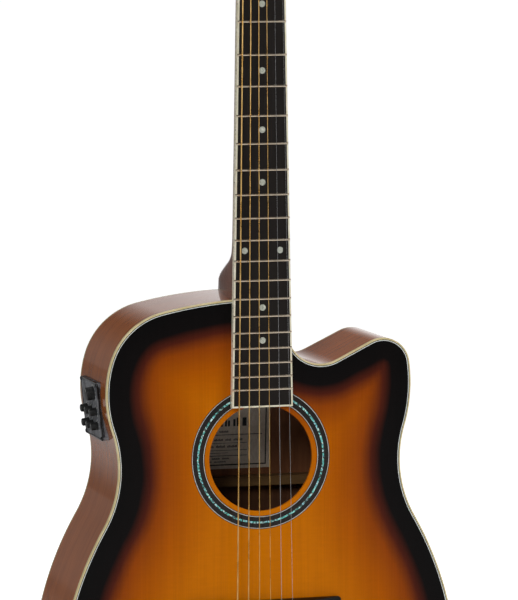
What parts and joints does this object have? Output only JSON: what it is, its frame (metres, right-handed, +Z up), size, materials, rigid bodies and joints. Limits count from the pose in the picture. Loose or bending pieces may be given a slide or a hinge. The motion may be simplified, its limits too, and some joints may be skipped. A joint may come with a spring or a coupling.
{
  "type": "acoustic guitar",
  "caption": "Steel-string acoustic guitar with a single cutaway, arched back, side preamp with turning knobs, geared tuners and an end-pin output socket.",
  "frame": {"origin": "centre of the tail strap pin's rim", "axes": "+Z up along the strings from the tail to the headstock, +X towards the cutaway (treble) side, -Y out of the soundboard towards the player's audience"},
  "size_m": [0.3898, 0.1365, 1.0661],
  "materials": {
    "spruce_burst": "gloss lacquer sunburst",
    "mahogany_gloss": "gloss lacquer",
    "cream_plastic": "gloss",
    "purfling": "gloss lines",
    "pale_wood": "bare",
    "dark_wood": "satin",
    "black_plastic": "gloss",
    "ivory_plastic": "polished",
    "shell": "pearl",
    "paper": "matt paper",
    "fret_wire": "polished",
    "steel": "plain",
    "bronze": "wound",
    "chrome": "polished",
    "marbled_plastic": "marbled",
    "case_plastic": "moulded",
    "lead_jacket": "matt"
  },
  "bodies": {
    "guitar": {"back_binding": "cream_plastic", "back_braces": "pale_wood", "back_plate": "mahogany_gloss", "bridge": "dark_wood", "bridge_pins": "black_plastic", "bridge_plate": "dark_wood", "end_pin_socket": "chrome", "fingerboard": "dark_wood", "fingerboard_binding": "cream_plastic", "frets": "fret_wire", "headstock_veneer": "black_plastic", "heel_cap": "mahogany_gloss", "inner_leads": "lead_jacket", "label": "paper", "linings": "pale_wood", "neck": "mahogany_gloss", "neck_block": "pale_wood", "nut": "ivory_plastic", "plain_strings": "steel", "position_dots": "shell", "preamp_box": "case_plastic", "preamp_panel": "marbled_plastic", "rosette_band": "black_plastic", "rosette_lines": "ivory_plastic", "rosette_shell": "shell", "saddle": "ivory_plastic", "saddle_pickup": "steel", "side_bass": "mahogany_gloss", "side_treble": "mahogany_gloss", "small_screws": "steel", "soundboard": "spruce_burst", "tail_block": "pale_wood", "top_binding": "cream_plastic", "top_braces": "pale_wood", "top_purfling": "purfling", "truss_rod": "steel", "truss_rod_cover": "black_plastic", "tuner_bushings": "chrome", "tuner_housings": "chrome", "wound_strings": "bronze"},
    "phase": {"phase_switch": "black_plastic"},
    "post_1": {"string_post_1": "chrome"},
    "post_2": {"string_post_2": "chrome"},
    "post_3": {"string_post_3": "chrome"},
    "post_4": {"string_post_4": "chrome"},
    "post_5": {"string_post_5": "chrome"},
    "post_6": {"string_post_6": "chrome"},
    "tone_1": {"tone_knob_1": "black_plastic"},
    "tone_2": {"tone_knob_2": "black_plastic"},
    "tone_3": {"tone_knob_3": "black_plastic"},
    "tone_4": {"tone_knob_4": "black_plastic"},
    "tone_5": {"tone_knob_5": "black_plastic"},
    "tone_6": {"tone_knob_6": "black_plastic"},
    "tuner_1": {"tuner_button_1": "chrome"},
    "tuner_2": {"tuner_button_2": "chrome"},
    "tuner_3": {"tuner_button_3": "chrome"},
    "tuner_4": {"tuner_button_4": "chrome"},
    "tuner_5": {"tuner_button_5": "chrome"},
    "tuner_6": {"tuner_button_6": "chrome"},
    "volume": {"volume_knob": "black_plastic"}
  },
  "joints": [
    {"name": "tuner_1_turn", "type": "hinge", "parent": "guitar", "child": "tuner_1", "pos_m": [-0.0205, -0.0307, 0.9144], "axis": [-1, 0, 0], "continuous": true},
    {"name": "string_post_1_turn", "type": "hinge", "parent": "guitar", "child": "post_1", "pos_m": [-0.0205, -0.0491, 0.92583], "axis": [0, -0.9744, 0.225], "continuous": true},
    {"name": "tuner_2_turn", "type": "hinge", "parent": "guitar", "child": "tuner_2", "pos_m": [-0.02175, -0.02148, 0.95435], "axis": [-1, 0, 0], "continuous": true},
    {"name": "string_post_2_turn", "type": "hinge", "parent": "guitar", "child": "post_2", "pos_m": [-0.02175, -0.03988, 0.96578], "axis": [0, -0.9744, 0.225], "continuous": true},
    {"name": "tuner_3_turn", "type": "hinge", "parent": "guitar", "child": "tuner_3", "pos_m": [-0.023, -0.01226, 0.9943], "axis": [-1, 0, 0], "continuous": true},
    {"name": "string_post_3_turn", "type": "hinge", "parent": "guitar", "child": "post_3", "pos_m": [-0.023, -0.03066, 1.00573], "axis": [0, -0.9744, 0.225], "continuous": true},
    {"name": "tuner_4_turn", "type": "hinge", "parent": "guitar", "child": "tuner_4", "pos_m": [0.023, -0.01226, 0.9943], "axis": [1, 0, 0], "continuous": true},
    {"name": "string_post_4_turn", "type": "hinge", "parent": "guitar", "child": "post_4", "pos_m": [0.023, -0.03066, 1.00573], "axis": [0, -0.9744, 0.225], "continuous": true},
    {"name": "tuner_5_turn", "type": "hinge", "parent": "guitar", "child": "tuner_5", "pos_m": [0.02175, -0.02148, 0.95435], "axis": [1, 0, 0], "continuous": true},
    {"name": "string_post_5_turn", "type": "hinge", "parent": "guitar", "child": "post_5", "pos_m": [0.02175, -0.03988, 0.96578], "axis": [0, -0.9744, 0.225], "continuous": true},
    {"name": "tuner_6_turn", "type": "hinge", "parent": "guitar", "child": "tuner_6", "pos_m": [0.0205, -0.0307, 0.9144], "axis": [1, 0, 0], "continuous": true},
    {"name": "string_post_6_turn", "type": "hinge", "parent": "guitar", "child": "post_6", "pos_m": [0.0205, -0.0491, 0.92583], "axis": [0, -0.9744, 0.225], "continuous": true},
    {"name": "volume_turn", "type": "hinge", "parent": "guitar", "child": "volume", "pos_m": [-0.15036, -0.017, 0.42888], "axis": [-0.9952, 0, -0.0976], "range_deg": [-140, 140]},
    {"name": "tone_1_turn", "type": "hinge", "parent": "guitar", "child": "tone_1", "pos_m": [-0.1487, 0.014, 0.41196], "axis": [-0.9952, 0, -0.0976], "range_deg": [-140, 140]},
    {"name": "tone_2_turn", "type": "hinge", "parent": "guitar", "child": "tone_2", "pos_m": [-0.1487, -0.0035, 0.41196], "axis": [-0.9952, 0, -0.0976], "range_deg": [-140, 140]},
    {"name": "tone_3_turn", "type": "hinge", "parent": "guitar", "child": "tone_3", "pos_m": [-0.1487, -0.021, 0.41196], "axis": [-0.9952, 0, -0.0976], "range_deg": [-140, 140]},
    {"name": "tone_4_turn", "type": "hinge", "parent": "guitar", "child": "tone_4", "pos_m": [-0.14738, 0.014, 0.39853], "axis": [-0.9952, 0, -0.0976], "range_deg": [-140, 140]},
    {"name": "tone_5_turn", "type": "hinge", "parent": "guitar", "child": "tone_5", "pos_m": [-0.14738, -0.0035, 0.39853], "axis": [-0.9952, 0, -0.0976], "range_deg": [-140, 140]},
    {"name": "tone_6_turn", "type": "hinge", "parent": "guitar", "child": "tone_6", "pos_m": [-0.14738, -0.021, 0.39853], "axis": [-0.9952, 0, -0.0976], "range_deg": [-140, 140]},
    {"name": "phase_slide", "type": "slide", "parent": "guitar", "child": "phase", "axis": [-0.0976, 0, 0.9952], "range_m": [0, 0.006]}
  ],
  "couplings": [
    {"joint": "string_post_1_turn", "follows": "tuner_1_turn", "ratio": -0.066667},
    {"joint": "string_post_2_turn", "follows": "tuner_2_turn", "ratio": -0.066667},
    {"joint": "string_post_3_turn", "follows": "tuner_3_turn", "ratio": -0.066667},
    {"joint": "string_post_4_turn", "follows": "tuner_4_turn", "ratio": 0.066667},
    {"joint": "string_post_5_turn", "follows": "tuner_5_turn", "ratio": 0.066667},
    {"joint": "string_post_6_turn", "follows": "tuner_6_turn", "ratio": 0.066667}
  ]
}
